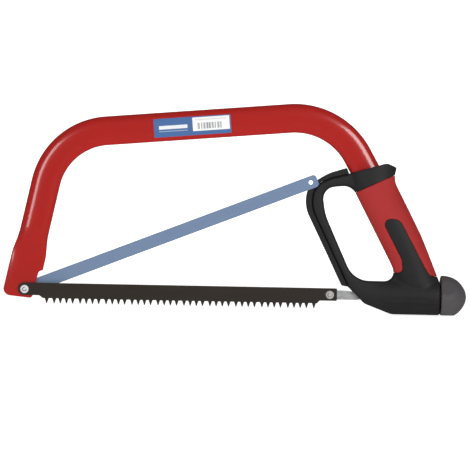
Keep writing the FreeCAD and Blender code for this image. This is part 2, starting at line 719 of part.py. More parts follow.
def checked():
    doc.recompute()
    for thing in doc.Objects:
        if "Invalid" in thing.State or "Error" in thing.State:
            raise RuntimeError(f"{thing.Name} failed: {thing.State}")
    for piece in finished:
        if piece.Shape.isNull() or not piece.Shape.isValid():
            raise RuntimeError(f"{piece.Label} has no valid shape")


def writeParts():
    os.makedirs("parts", exist_ok=True)
    whole = FreeCAD.BoundBox()
    for piece in finished:
        piece.Shape.exportStep(f"parts/{piece.Label}.step")
        whole.add(piece.Shape.BoundBox)
        print(f"{piece.Label:16s} solids {len(piece.Shape.Solids)}  volume {piece.Shape.Volume:9.0f}")
    print(whole)


fillSheet()
bowTube()
tubePlug()
lockPin()
frameLabel()
bothPegs()
woodBlade()
spareBlade()
drawBar()
tensionRod()
guidePlate()
knob()
handle()
guardBumper()
checked()
writeParts()
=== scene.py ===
import math
import bmesh
import bpy
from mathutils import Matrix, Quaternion, Vector


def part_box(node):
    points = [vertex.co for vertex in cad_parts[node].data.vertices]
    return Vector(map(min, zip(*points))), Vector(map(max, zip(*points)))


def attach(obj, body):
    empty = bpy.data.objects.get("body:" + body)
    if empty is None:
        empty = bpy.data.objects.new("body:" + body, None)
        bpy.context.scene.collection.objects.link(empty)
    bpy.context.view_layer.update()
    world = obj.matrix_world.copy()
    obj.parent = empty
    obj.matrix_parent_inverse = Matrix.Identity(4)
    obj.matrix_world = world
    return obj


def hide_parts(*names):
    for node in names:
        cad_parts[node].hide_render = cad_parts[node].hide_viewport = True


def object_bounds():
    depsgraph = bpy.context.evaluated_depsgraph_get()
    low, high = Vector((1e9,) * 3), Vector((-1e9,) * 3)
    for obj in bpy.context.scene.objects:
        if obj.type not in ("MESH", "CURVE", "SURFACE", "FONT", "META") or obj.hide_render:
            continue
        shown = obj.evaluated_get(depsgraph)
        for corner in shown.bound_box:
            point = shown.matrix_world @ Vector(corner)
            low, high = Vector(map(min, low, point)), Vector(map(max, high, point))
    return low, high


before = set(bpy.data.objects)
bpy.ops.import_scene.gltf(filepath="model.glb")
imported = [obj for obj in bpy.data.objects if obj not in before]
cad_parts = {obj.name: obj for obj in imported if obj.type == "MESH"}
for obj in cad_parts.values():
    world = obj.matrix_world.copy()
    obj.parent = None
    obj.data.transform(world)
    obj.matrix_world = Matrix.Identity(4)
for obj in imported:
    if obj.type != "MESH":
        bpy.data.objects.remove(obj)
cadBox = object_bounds()

mm = 0.001
sameSpot = 1e-6  # metres within which two points are one
through = 30  # mm: half the depth of a cutter that goes right through
pegLow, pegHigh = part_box("front_peg")
pegAxis = Vector(((pegLow.x + pegHigh.x) / 2, 0, (pegLow.z + pegHigh.z) / 2))


def at(x, y, z):  # millimetres from the middle of the front peg
    return pegAxis + Vector((x, y, z)) * mm


# Shaping tools: every piece starts as a primitive and is worked in edit mode.
def startFresh():
    if bpy.context.object and bpy.context.object.mode != "OBJECT":
        bpy.ops.object.mode_set(mode="OBJECT")
    bpy.ops.object.select_all(action="DESELECT")


def makeActive(piece):
    startFresh()
    piece.select_set(True)
    bpy.context.view_layer.objects.active = piece


def editing(piece):
    makeActive(piece)
    bpy.ops.object.mode_set(mode="EDIT")
    bpy.ops.mesh.select_all(action="DESELECT")


def settled(name):  # the new primitive's place goes into its mesh
    piece = bpy.context.object
    bpy.ops.object.transform_apply(location=True, rotation=True, scale=True)
    piece.name = piece.data.name = name
    return piece


def pick(piece, kind, wanted):
    bpy.ops.mesh.select_mode(type=kind)
    mesh = bmesh.from_edit_mesh(piece.data)
    bpy.ops.mesh.select_all(action="DESELECT")
    for part in {"VERT": mesh.verts, "EDGE": mesh.edges, "FACE": mesh.faces}[kind]:
        if wanted(part):
            part.select_set(True)
    mesh.select_flush_mode()
    bmesh.update_edit_mesh(piece.data)


def pickNearest(piece, place):
    mesh = bmesh.from_edit_mesh(piece.data)
    nearest = min(mesh.verts, key=lambda point: (point.co - place).length)
    found = nearest.co.copy()
    pick(piece, "VERT", lambda point: (point.co - found).length < sameSpot)
    return found


def pushOut(move):
    bpy.ops.mesh.extrude_region_move(TRANSFORM_OT_translate={"value": tuple(move)})


def tidyShell():
    bpy.ops.mesh.select_all(action="SELECT")
    bpy.ops.mesh.remove_doubles(threshold=sameSpot)
    bpy.ops.mesh.normals_make_consistent(inside=False)
    bpy.ops.object.mode_set(mode="OBJECT")


def roundArc(half, rounding):  # how far from its corner a true arc starts, and how full it is
    share = 0.5 / (1 + math.sin(half))
    return {"offset": rounding / math.tan(half) * mm, "profile": (1 - share) ** 2}


def halfTurn(before, corner, after):  # half the angle inside a corner
    return (Vector(before) - Vector(corner)).angle(Vector(after) - Vector(corner)) / 2


def outlinePlate(name, corners, front, back, segments=6):  # corners are x, z and rounding
    startFresh()
    bpy.ops.mesh.primitive_circle_add(vertices=len(corners), radius=0.5, fill_type="NGON",
                                      location=at(200, front, 60), rotation=(math.radians(90), 0, 0))
    piece = settled(name)  # a wide ring, whose points then go to the corners one by one
    starts = [point.co.copy() for point in piece.data.vertices]
    editing(piece)
    for start, (x, z, rounding) in zip(starts, corners):
        bpy.ops.transform.translate(value=at(x, front, z) - pickNearest(piece, start))
    for index, (x, z, rounding) in enumerate(corners):
        if rounding:
            before, after = corners[index - 1][:2], corners[(index + 1) % len(corners)][:2]
            pickNearest(piece, at(x, front, z))
            bpy.ops.mesh.bevel(affect="VERTICES", segments=segments,
                               **roundArc(halfTurn(before, (x, z), after), rounding))
    bpy.ops.mesh.select_all(action="SELECT")
    pushOut((0, (back - front) * mm, 0))
    tidyShell()
    return piece


def rectangle(left, bottom, right, top):  # corners for outlinePlate, left sharp
    return [(left, bottom, 0), (right, bottom, 0), (right, top, 0), (left, top, 0)]


def finished(piece, kind, **settings):  # adds a modifier and applies it
    makeActive(piece)
    change = piece.modifiers.new(kind.title(), kind)
    for key, value in settings.items():
        setattr(change, key, value)
    bpy.ops.object.modifier_apply(modifier=change.name)


def carve(piece, operation, tool, keepTool=False):
    finished(piece, "BOOLEAN", operation=operation, object=tool, solver="EXACT")
    if not keepTool:
        bpy.data.objects.remove(tool)


def melt(piece, voxel, rounds):  # one closed skin with soft edges
    finished(piece, "REMESH", mode="VOXEL", voxel_size=voxel * mm, use_smooth_shade=True)
    finished(piece, "SMOOTH", factor=0.5, iterations=rounds)


def joined(name, *pieces):
    makeActive(pieces[0])
    for piece in pieces:
        piece.select_set(True)
    bpy.ops.object.join()
    bpy.context.object.name = bpy.context.object.data.name = name
    return bpy.context.object


def copyOf(piece, name):
    twin = piece.copy()
    twin.data = piece.data.copy()
    twin.name = twin.data.name = name
    bpy.context.scene.collection.objects.link(twin)
    return twin


def smoothAll(piece, degrees):
    makeActive(piece)
    bpy.ops.object.shade_smooth_by_angle(angle=math.radians(degrees))


def wear(piece, body, finish, nodeName):
    piece.data.materials.clear()
    piece.data.materials.append(finish.material)
    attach(piece, body)
    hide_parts(nodeName)


# Finishes: a Field is a number that changes over a surface, written like plain maths.
class Field:
    def __init__(self, finish, socket):
        self.finish, self.socket = finish, socket

    def maths(self, operation, first, second=0.0):
        return self.finish.node("ShaderNodeMath", {"operation": operation}, {0: first, 1: second})

    def __add__(self, other):
        return self.maths("ADD", self, other)

    def __radd__(self, other):
        return self.maths("ADD", other, self)

    def __sub__(self, other):
        return self.maths("SUBTRACT", self, other)

    def __rsub__(self, other):
        return self.maths("SUBTRACT", other, self)

    def __mul__(self, other):
        return self.maths("MULTIPLY", self, other)

    def __rmul__(self, other):
        return self.maths("MULTIPLY", other, self)

    def __truediv__(self, other):
        return self.maths("DIVIDE", self, other)

    def __gt__(self, other):
        return self.maths("GREATER_THAN", self, other)

    def __lt__(self, other):
        return self.maths("LESS_THAN", self, other)

    def wave(self):
        return self.maths("SINE", self)

    def root(self):
        return self.maths("SQRT", self)

    def between(self, low, high):  # 0 at low, 1 at high, eased in between
        return self.finish.node("ShaderNodeMapRange", {"interpolation_type": "SMOOTHSTEP"},
                                {"Value": self, "From Min": low, "From Max": high})

    def inside(self, low, high):
        return (self > low) * (self < high)


class Finish:
    def __init__(self, name, **surface):
        self.material = bpy.data.materials.new(name)
        self.material.use_nodes = True
        self.tree = self.material.node_tree
        self.shader = self.tree.nodes["Principled BSDF"]
        for socket, value in surface.items():
            self.shader.inputs[socket.replace("_", " ")].default_value = value

    def node(self, kind, settings, sockets, output=0):
        made = self.tree.nodes.new(kind)
        for key, value in settings.items():
            setattr(made, key, value)
        for key, value in sockets.items():
            self.plug(made.inputs[key], value)
        return Field(self, made.outputs[output])

    def plug(self, socket, value):
        if isinstance(value, Field):
            self.tree.links.new(value.socket, socket)
        else:
            socket.default_value = value

    def drive(self, socket, value):
        self.plug(self.shader.inputs[socket], value)

    def place(self, middle=(0, 0, 0), turn=(0, 0, 0)):  # object coordinates about a point
        coords = self.node("ShaderNodeTexCoord", {}, {}, "Object")
        return self.node("ShaderNodeMapping", {"vector_type": "TEXTURE"},
                         {"Vector": coords, "Location": middle, "Rotation": turn})

    def axes(self, vector):
        split = self.node("ShaderNodeSeparateXYZ", {}, {0: vector}).socket.node
        return [Field(self, split.outputs[index]) for index in range(3)]

    def grain(self, scale, detail, stretch=(1, 1, 1), rough=0.55):
        coords = self.node("ShaderNodeMapping", {}, {"Vector": self.place(), "Scale": stretch})
        return self.node("ShaderNodeTexNoise", {}, {"Vector": coords, "Scale": scale, "Detail": detail,
                                                    "Roughness": rough}, "Fac")

    def cells(self, scale, output="Distance"):
        return self.node("ShaderNodeTexVoronoi", {}, {"Vector": self.place(), "Scale": scale}, output)

    def blend(self, share, first, second):
        return self.node("ShaderNodeMix", {"data_type": "RGBA"}, {0: share, 6: first, 7: second}, 2)

    def relief(self, height, depth):  # depth in millimetres
        self.drive("Normal", self.node("ShaderNodeBump", {}, {"Height": height, "Distance": depth * mm}))

    def aroundNode(self, nodeName):  # millimetres from a part's middle, toe to knob and upwards
        low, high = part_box(nodeName)
        across = self.axes(self.place(((low.x + high.x) / 2, 0, (low.z + high.z) / 2)))
        return across[0] / mm, across[2] / mm


def tint(red, green, blue):  # a screen colour, 0 to 255, as light
    def light(value):
        value /= 255
        return value / 12.92 if value <= 0.04045 else ((value + 0.055) / 1.055) ** 2.4
    return (light(red), light(green), light(blue), 1.0)


def paintFinish():  # glossy red powder coat with a faint orange peel
    look = {"red": (172, 28, 22), "deepRed": (152, 20, 16), "peel": 900, "peelDepth": 0.01}
    paint = Finish("redPaint", Coat_Weight=0.4, Coat_Roughness=0.08, IOR=1.45)
    clouds = paint.grain(35, 2)
    flecks = paint.grain(2600, 2)
    paint.drive("Base Color", paint.blend(clouds * 0.45 + flecks * 0.25,
                                          tint(*look["red"]), tint(*look["deepRed"])))
    paint.drive("Roughness", 0.15 + clouds * 0.07 + flecks * 0.04)
    paint.relief(paint.grain(look["peel"], 1) + flecks * 0.15, look["peelDepth"])
    return paint


def mouldedFinish(name, colour, lighter, grainScale, depth, roughness):  # textured plastic or rubber
    plastic = Finish(name, IOR=1.47, Specular_IOR_Level=0.3)
    clouds = plastic.grain(60, 3)
    pits = plastic.cells(grainScale)
    fine = plastic.grain(grainScale * 1.7, 2)
    plastic.drive("Base Color", plastic.blend(clouds * 0.6 + fine * 0.4, tint(*colour), tint(*lighter)))
    plastic.drive("Roughness", roughness + clouds * 0.08 + pits * 0.08)
    plastic.relief(pits * 0.6 + fine, depth)
    return plastic


def steelFinish(name, colour, darker, roughness, lengthwise):  # drawn or rolled along one way
    steel = Finish(name, Metallic=1)
    lines = steel.grain(700, 4, lengthwise)
    clouds = steel.grain(90, 3)
    steel.drive("Base Color", steel.blend(lines * 0.55 + clouds * 0.45, tint(*colour), tint(*darker)))
    steel.drive("Roughness", roughness + lines * 0.14 + clouds * 0.08)
    steel.relief(lines, 0.01)
    return steel


# bright pin with a painted shadow: a dark ring round its tip, from ringLow to ringHigh mm, that is open on the
# side gapWay points to
def pegFinish(name, nodeName, ringLow, ringHigh, colour, gapWay):
    look = {"rubbed": (176, 177, 180), "ring": (48, 48, 52), "gapStart": 0.78}
    steel = Finish(name, Metallic=0.2)
    x, z = steel.aroundNode(nodeName)
    radius = (x * x + z * z).root()
    # the ring is painted shadow, the shade the pin's tip casts round itself, left open on one side
    ring = radius.inside(ringLow, ringHigh) * ((x * gapWay[0] + z * gapWay[1]) < radius * look["gapStart"])
    brushed = steel.grain(900, 3)
    bright = steel.blend(brushed * 0.5, tint(*colour), tint(*look["rubbed"]))
    steel.drive("Base Color", steel.blend(ring * 0.8, bright, tint(*look["ring"])))
    steel.drive("Roughness", 0.24 + brushed * 0.16)
    steel.relief(brushed - ring * 1.5, 0.02)
    return steel


def zincFinish():  # dull zinc with its spangle
    # the darkest colour here is painted shade for the gap round the rear peg
    look = {"zinc": (196, 197, 198), "darkZinc": (142, 143, 144), "holeShade": (52, 46, 40), "shadeReach": (20, 27)}
    zinc = Finish("zincCoat", Metallic=0.5)
    spangle = zinc.node("ShaderNodeSeparateColor", {}, {0: zinc.cells(420, "Color")})
    clouds = zinc.grain(260, 4)
    share = spangle * 0.55 + clouds * 0.45
    x, z = zinc.aroundNode("rear_peg")
    # painted shade: darker round the peg, where the blade's hole shows the bar in the gap behind it; the reach
    # is a squared radius
    holeShade = 1 - (x * x + z * z).between(*look["shadeReach"])
    plated = zinc.blend(share, tint(*look["zinc"]), tint(*look["darkZinc"]))
    zinc.drive("Base Color", zinc.blend(holeShade * 0.85, plated, tint(*look["holeShade"])))
    zinc.drive("Roughness", 0.36 + share * 0.22)
    zinc.relief(clouds + spangle * 0.3, 0.02)
    return zinc


def darkBladeFinish():  # black-brown oxide skin, filed teeth and a few rubbed spots
    look = {"skin": (33, 28, 23), "brown": (52, 42, 31), "filed": (62, 58, 54),
            "filedFrom": 8.6, "filedTo": 12.1}
    blade = Finish("darkBladeSteel", Metallic=0.35)
    rolled = blade.grain(260, 4, (0.12, 1, 1))
    blotch = blade.grain(45, 3, (0.35, 1, 1))
    height = blade.axes(blade.place(at(0, 0, 0)))[2] / mm
    teeth = (-1 * height).between(look["filedFrom"], look["filedTo"])  # millimetres below the pegs
    colour = blade.blend(rolled * 0.5 + blotch * 0.5, tint(*look["skin"]), tint(*look["brown"]))
    blade.drive("Base Color", blade.blend(teeth * (0.15 + blotch * 0.25), colour, tint(*look["filed"])))
    blade.drive("Roughness", 0.42 + rolled * 0.18 - teeth * 0.08)
    blade.relief(rolled + blotch * 0.5, 0.02)
    return blade


def blueBladeFinish():  # blue-grey enamel over rolled steel
    look = {"blue": (114, 136, 166), "deepBlue": (93, 116, 148)}
    blade = Finish("blueBladeEnamel", Coat_Weight=0.15, Coat_Roughness=0.25)
    clouds = blade.grain(30, 3)
    fine = blade.grain(1500, 2)
    blade.drive("Base Color", blade.blend(clouds * 0.5 + fine * 0.4,
                                          tint(*look["blue"]), tint(*look["deepBlue"])))
    blade.drive("Roughness", 0.4 + fine * 0.12)
    blade.relief(fine, 0.01)
    return blade


def labelFinish():  # printed film: blue field, white panel with plain bars, no lettering
    look = {"blue": (62, 102, 156), "white": (236, 236, 236), "ink": (70, 70, 74), "rise": 4.96,
            # each print: left, right, bottom, top in millimetres from the middle, along and across the tube
            "panel": (0.2, 36.5, -5.2, 8.2), "bars": (4.5, 28.5, -3.4, 2.6), "row": (3, 33, 5.3, 6.0),
            "block": (-33, -5, -1.6, 1.9), "ribbon": (-33, -5, -4.0, -3.3)}
    film = Finish("labelFilm", Coat_Weight=0.3, Coat_Roughness=0.2)
    low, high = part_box("frame_label")
    across = film.axes(film.place((low + high) / 2, (0, -math.radians(look["rise"]), 0)))
    along, up = across[0] / mm, across[2] / mm

    def printed(name):
        left, right, bottom, top = look[name]
        return along.inside(left, right) * up.inside(bottom, top)

    # waves of several lengths add up to bars of uneven width
    stripes = ((along * 5.1).wave() + (along * 2.3).wave() + (along * 8.7).wave() * 0.6) > 0.1
    dashes = (along * 6).wave() > -0.4
    colour = film.blend(printed("panel"), tint(*look["blue"]), tint(*look["white"]))
    colour = film.blend(printed("bars") * stripes * 0.85, colour, tint(*look["ink"]))
    colour = film.blend(printed("row") * dashes * 0.5, colour, tint(*look["ink"]))
    colour = film.blend(printed("block") * 0.92 + printed("ribbon") * 0.4, colour, tint(*look["white"]))
    film.drive("Base Color", colour)
    film.drive("Roughness", 0.32 + film.grain(500, 2) * 0.1)
    film.relief(film.grain(160, 2), 0.02)
    return film


redPaint = paintFinish()
blackNylon = mouldedFinish("blackNylon", (27, 27, 27), (37, 36, 37), 1500, 0.035, 0.46)
blackRubber = mouldedFinish("blackRubber", (27, 26, 27), (35, 34, 35), 1900, 0.03, 0.58)
redRubber = mouldedFinish("redRubber", (157, 36, 35), (169, 46, 44), 2100, 0.04, 0.6)
knobPlastic = mouldedFinish("knobPlastic", (72, 70, 72), (83, 81, 82), 1500, 0.035, 0.44)
brightSteel = steelFinish("brightSteel", (232, 234, 238), (196, 198, 203), 0.16, (1, 0.3, 1))
springSteel = steelFinish("springSteel", (168, 166, 162), (128, 126, 122), 0.26, (1, 0.1, 1))
screwSteel = steelFinish("screwSteel", (92, 92, 96), (66, 66, 70), 0.3, (1, 0.2, 1))
frontPegSteel = pegFinish("frontPegSteel", "front_peg", 1.15, 1.95, (246, 246, 247), (0.8, 0.6))
rearPegSteel = pegFinish("rearPegSteel", "rear_peg", 1.7, 2.2, (196, 194, 190), (0.3, 0.95))
zincCoat = zincFinish()
darkBlade = darkBladeFinish()
blueBlade = blueBladeFinish()
labelFilm = labelFinish()
print("finishes made")

worn = {redPaint: ["bow_tube"], blackNylon: ["tube_plug", "rod_bush", "handle_front", "handle_back"],
        springSteel: ["tube_lock_pin"], labelFilm: ["frame_label"], frontPegSteel: ["front_peg"],
        rearPegSteel: ["rear_peg"], brightSteel: ["rod_rivet", "knob_nut", "knob_ring", "thrust_washer"],
        darkBlade: ["wood_blade"], blueBlade: ["spare_blade"],
        zincCoat: ["draw_bar", "tension_rod", "bar_guide"], knobPlastic: ["knob_body"],
        redRubber: ["soft_grip"], blackRubber: ["guard_bumper"], screwSteel: ["handle_screws"]}
for finish, nodeNames in worn.items():
    for nodeName in nodeNames:
        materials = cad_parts[nodeName].data.materials
        materials.clear()
        materials.append(finish.material)
print("finishes on the parts")


def shapeBow():  # bent from one rounded flat-sided tube, pressed flat at the toe
    bow = {"deep": 28.46, "wide": 13, "sides": 48, "fullness": 2.5,
           "armLean": 12.15, "runRise": 4.96, "rearLean": 28.99,  # degrees
           "start": (14.33, 84), "armBehind": 3.75, "armStraight": 21.98, "frontBend": 65.5,
           "topStraight": 180.9, "rearBend": 70, "rearStraight": 99.2, "bendSteps": 40,
           "sharpTurn": 60, "edge": 0.45, "smooth": 40,
           "toe": [(-60, 300, 0), (-60, 60, 0), (-13.4, 36, 0), (-22.35, -5.65, 7), (7.2, -8.7, 3),
                   (10.6, 5, 8), (13.4, 18.6, 4.5), (18.1, 18.6, 1), (19.9, 28.9, 0), (32, 60, 0),
                   (250, 60, 0), (300, 0, 0), (500, 0, 0), (500, 300, 0)]}
    # below the straight arm: height above the peg, depth and width of the section
    pressed = [(62, 28.5, 13), (56, 28.6, 12.6), (51.5, 29.2, 11.2), (47.5, 30.2, 9.2), (43.5, 31.4, 6.9),
               (40, 32.5, 5), (37, 33.4, 3.8), (34, 33.9, 3.15), (31, 34, 3), (-14, 34, 3)]
    startFresh()
    x, z = bow["start"]
    heading = 90 - bow["armLean"]
    bpy.ops.mesh.primitive_circle_add(vertices=bow["sides"], radius=1, fill_type="NGON")
    section = bpy.context.object
    editing(section)
    for step in range(1, bow["sides"] // 4):  # squares the oval up a little, four points at a time
        turn = 2 * math.pi * step / bow["sides"]
        pick(section, "VERT", lambda point: abs(abs(point.co.x) - math.sin(turn)) < 1e-4)
        power = 2 / bow["fullness"] - 1
        bpy.ops.transform.resize(value=(math.sin(turn) ** power, math.cos(turn) ** power, 1),
                                 center_override=(0, 0, 0))
    bpy.ops.object.mode_set(mode="OBJECT")
    section.scale = (bow["deep"] / 2 * mm, bow["wide"] / 2 * mm, 1)
    section.rotation_euler = (0, math.radians(bow["armLean"]), 0)
    section.location = at(x, 0, z)
    tube = settled("bowTube")
    editing(tube)
    bpy.ops.mesh.select_all(action="SELECT")
    spot = Vector((x, 0, z))

    def forward(length):
        step = Vector((math.cos(math.radians(heading)), 0, math.sin(math.radians(heading)))) * length
        pushOut(step * mm)
        return spot + step

    def bend(radius, turn):
        sideways = math.radians(heading - 90)
        hub = spot + Vector((math.cos(sideways), 0, math.sin(sideways))) * radius
        # spin turns left-handed, so its axis points to the front
        bpy.ops.mesh.spin(steps=bow["bendSteps"], angle=math.radians(turn), center=at(*hub), axis=(0, -1, 0))
        swept = spot - hub
        cosine, sine = math.cos(math.radians(turn)), math.sin(math.radians(turn))
        swept = Vector((swept.x * cosine + swept.z * sine, 0, swept.z * cosine - swept.x * sine))
        return hub + swept, heading - turn

    spot = forward(bow["armStraight"])
    spot, heading = bend(bow["frontBend"], heading - bow["runRise"])
    spot = forward(bow["topStraight"])
    spot, heading = bend(bow["rearBend"], heading + 90 - bow["rearLean"])
    spot = forward(bow["rearStraight"])
    lean = math.radians(bow["armLean"])
    pick(tube, "FACE", lambda face: len(face.verts) == bow["sides"]
         and (face.calc_center_median() - at(x, 0, z)).length < 2 * mm)
    height, depth, width = z, bow["deep"], bow["wide"]
    for nextHeight, nextDepth, nextWidth in pressed:
        drop = (height - nextHeight) / math.cos(lean)
        pushOut((-math.sin(lean) * drop * mm, 0, -math.cos(lean) * drop * mm))
        middle = at(math.tan(lean) * nextHeight - bow["armBehind"], 0, nextHeight)
        bpy.ops.transform.resize(value=(nextDepth / depth, nextWidth / width, 1), center_override=middle)
        height, depth, width = nextHeight, nextDepth, nextWidth
    tidyShell()
    carve(tube, "INTERSECT", outlinePlate("toeTrim", bow["toe"], -through, through))
    editing(tube)
    bpy.ops.mesh.select_mode(type="EDGE")
    bpy.ops.mesh.edges_select_sharp(sharpness=math.radians(bow["sharpTurn"]))
    bpy.ops.mesh.bevel(offset=bow["edge"] * mm, segments=2, clamp_overlap=True)
    tidyShell()
    smoothAll(tube, bow["smooth"])
    wear(tube, "root", redPaint, "bow_tube")
    print("bow tube bent:", len(tube.data.polygons), "faces")
    return tube


def shapeLabel(tube):  # a printed film that follows the tube's crowned side
    film = {"start": 124.1, "length": 75.9, "tall": 18.3, "height": 149.05, "off": 12, "rise": 4.96,
            "round": 0.8, "thick": 0.16, "strips": 12}
    rise = math.radians(film["rise"])
    middleX = film["start"] + film["length"] / 2 * math.cos(rise)
    middle = at(middleX, -film["off"], film["height"] + math.tan(rise) * middleX)
    startFresh()
    bpy.ops.mesh.primitive_plane_add(size=1, location=middle, rotation=(math.radians(90), -rise, 0))
    bpy.context.object.scale = (film["length"] * mm, film["tall"] * mm, 1)
    label = settled("frameLabel")
    editing(label)
    bpy.ops.mesh.select_all(action="SELECT")
    bpy.ops.mesh.bevel(affect="VERTICES", offset=film["round"] * mm, segments=4)
    up = Vector((-math.sin(rise), 0, math.cos(rise)))
    for strip in range(1, film["strips"]):  # cuts along its length let it bend round the tube
        height = (strip / film["strips"] - 0.5) * film["tall"] * mm
        bpy.ops.mesh.select_all(action="SELECT")
        bpy.ops.mesh.bisect(plane_co=middle + up * height, plane_no=up)
    tidyShell()
    finished(label, "SHRINKWRAP", target=tube, wrap_method="PROJECT", use_project_y=True, use_project_z=False,
             use_positive_direction=True, use_negative_direction=False, offset=film["thick"] * mm)
    finished(label, "SOLIDIFY", thickness=film["thick"] * mm, offset=-1)
    smoothAll(label, 40)
    wear(label, "root", labelFilm, "frame_label")
    print("label laid on:", len(label.data.polygons), "faces")


def ovalLoft(name, stations, turn, sides=40):  # stations are middle and the two half sizes
    startFresh()
    middle, first, second = stations[0]
    bpy.ops.mesh.primitive_circle_add(vertices=sides, radius=1, fill_type="NGON", location=at(*middle),
                                      rotation=turn)
    bpy.context.object.scale = (first * mm, second * mm, 1)
    loft = settled(name)
    editing(loft)
    bpy.ops.mesh.select_all(action="SELECT")
    for nextMiddle, nextFirst, nextSecond in stations[1:]:
        pushOut((Vector(nextMiddle) - Vector(middle)) * mm)
        across = nextFirst / first
        ratio = (1, nextSecond / second, across) if turn[1] else (across, nextSecond / second, 1)
        bpy.ops.transform.resize(value=ratio, center_override=at(*nextMiddle))
        middle, first, second = nextMiddle, nextFirst, nextSecond
    tidyShell()
    return loft


# stations of the grip: height, middle, half fore and aft, half across; of the base: along, middle height,
# half tall, half across; every outline: x, z and rounding; all in millimetres from the front peg
grip = {"stations": [(10, 387.6, 22.4, 15), (16, 384.9, 22.6, 15), (26, 381, 22.3, 15.2),
                     (36, 377.6, 22, 15.4), (48, 372, 22.3, 15.6), (60, 366.2, 22.6, 15.8),
                     (72, 360, 22.8, 15.6), (84, 353.9, 23, 15.4), (93, 349, 23, 15),
                     (102, 344.4, 23.2, 14.6), (109, 341.5, 23.3, 14.3), (116, 339.8, 23.6, 14),
                     (124, 339.3, 24.4, 13.8), (132, 339.4, 25.4, 13.8)],
        "base": [(322, 4, 12, 6.4), (326, 4, 13.5, 7.4), (335, 2, 15.8, 8.1), (345, -0.5, 18, 9),
                 (356, -0.8, 18.9, 11), (366, -1, 19.5, 13.2), (377, -1.1, 19.6, 15),
                 (388, -1.2, 19.6, 16.4), (398, -1.2, 19.5, 17.2), (407.5, -1.2, 19.4, 17.6)],
        "side": [(316.8, 119.5, 0), (345, 127.6, 0), (353, 130.2, 7), (363.4, 126.2, 1.2), (361.5, 119, 18),
                 (361.8, 111.5, 16), (371, 94.2, 60), (388.6, 60, 120), (402.4, 26.5, 40), (407.5, 13, 0),
                 (407.5, -17.85, 0), (360, -17.85, 12), (334, -8, 6), (328.5, -2.6, 3), (317.4, 8.4, 0),
                 (300, 40, 0), (300, 112, 0)],
        "hand": [(290, 105, 12), (319.5, 107.8, 13), (361.9, 27, 10), (363.2, 14.4, 9), (323, 14.4, 24),
                 (294, 78.5, 60)],
        "crease": [(316.6, 119.2, 0), (299.5, 115.2, 40), (287.8, 110.2, 12), (281.6, 101, 14), (279.6, 86, 30),
                   (317.2, 8.4, 0)],
        "guardRest": [(330.5, -4.2, 8), (345, -9, 0), (400, -9, 0), (384, 20, 0), (372, 50, 0), (340, 117, 0)],
        "bumperRest": [(311.4, 9.4, 1), (272.9, 88, 34), (276.2, 102.8, 11), (285.6, 112.9, 14),
                       (297, 119.6, 40), (314.2, 125, 1.5)],
        "skin": [(310, 94.5, 0), (340, 109.2, 60), (368, 122, 0), (420, 122, 0), (420, 19.8, 0), (402, 19.8, 0),
                 (380, 22.8, 0), (340, 22.8, 0)],
        "tongue": [(348.8, 75.3, 5), (366.3, 75, 9), (388.5, 34, 30), (396.5, 20.5, 12), (408, 17, 0),
                   (408, 5, 0), (364.6, 5, 0), (364.6, 21.5, 0), (370.6, 25, 4), (369.6, 36, 12)],
        "ledge": [(353, -6.9, 0.8), (398, -6.9, 0.8), (398, -1.5, 0.8), (353, -1.5, 0.8)], "ledgeRise": 0.8,
        "guardHalf": 7, "guardRound": 3, "bumperRound": 2, "skinDeep": 1.6, "edgeDeep": 3.2, "groove": 0.25,
        "voxel": 1.1, "skinVoxel": 0.75,
        "barRoom": (300, -5.4, 358, 5.4), "barHalf": 2.3, "rodStart": 336, "rodEnd": 420, "rodHalf": 5.6,
        "screws": [(303.5, 111), (316.8, 18.5), (357, 120.5), (378.5, 29), (357, -10.5), (398, -12)],
        "wellFrom": 3, "wellTo": 25, "wellHalf": 3.4, "seam": 0.04, "seamEdge": 0.35}


def gripLoft(name, fore, across):  # the grip, so much smaller fore and aft and across
    return ovalLoft(name, [((x, 0, z), half - fore, wide - across) for z, x, half, wide in grip["stations"]],
                    (0, 0, 0))


def baseLoft(name, more):
    return ovalLoft(name, [((x, 0, z), tall + more, wide + more) for x, z, tall, wide in grip["base"]],
                    (0, math.radians(90), 0))


def bore(name, start, end, radius, sides=32):  # a round bar between two points
    startFresh()
    first, last = at(*start), at(*end)
    bpy.ops.mesh.primitive_cylinder_add(vertices=sides, radius=radius * mm, depth=(last - first).length,
                                        location=(first + last) / 2,
                                        rotation=(last - first).to_track_quat("Z", "Y").to_euler())
    return settled(name)


def bevelRims(piece, isRim, sharpest, **bevel):  # the edges in a rim's plane that turn by more than sharpest
    editing(piece)
    pick(piece, "EDGE", lambda edge: all(isRim(point.co.y / mm) for point in edge.verts)
         and len(edge.link_faces) == 2 and edge.calc_face_angle(0) > sharpest)
    bpy.ops.mesh.bevel(**bevel)
    tidyShell()


def roundRims(plate, rounding):  # the guard's and the bumper's
    bevelRims(plate, lambda y: abs(abs(y) - grip["guardHalf"]) < 0.001, 1.2, offset=rounding * mm, segments=5,
              clamp_overlap=True)


def shapeBumper():
    outline = grip["crease"] + grip["bumperRest"]
    bumper = outlinePlate("guardBumper", outline, -grip["guardHalf"], grip["guardHalf"], 12)
    roundRims(bumper, grip["bumperRound"])
    smoothAll(bumper, 50)
    wear(bumper, "root", blackRubber, "guard_bumper")
    print("bumper ready:", len(bumper.data.polygons), "faces")


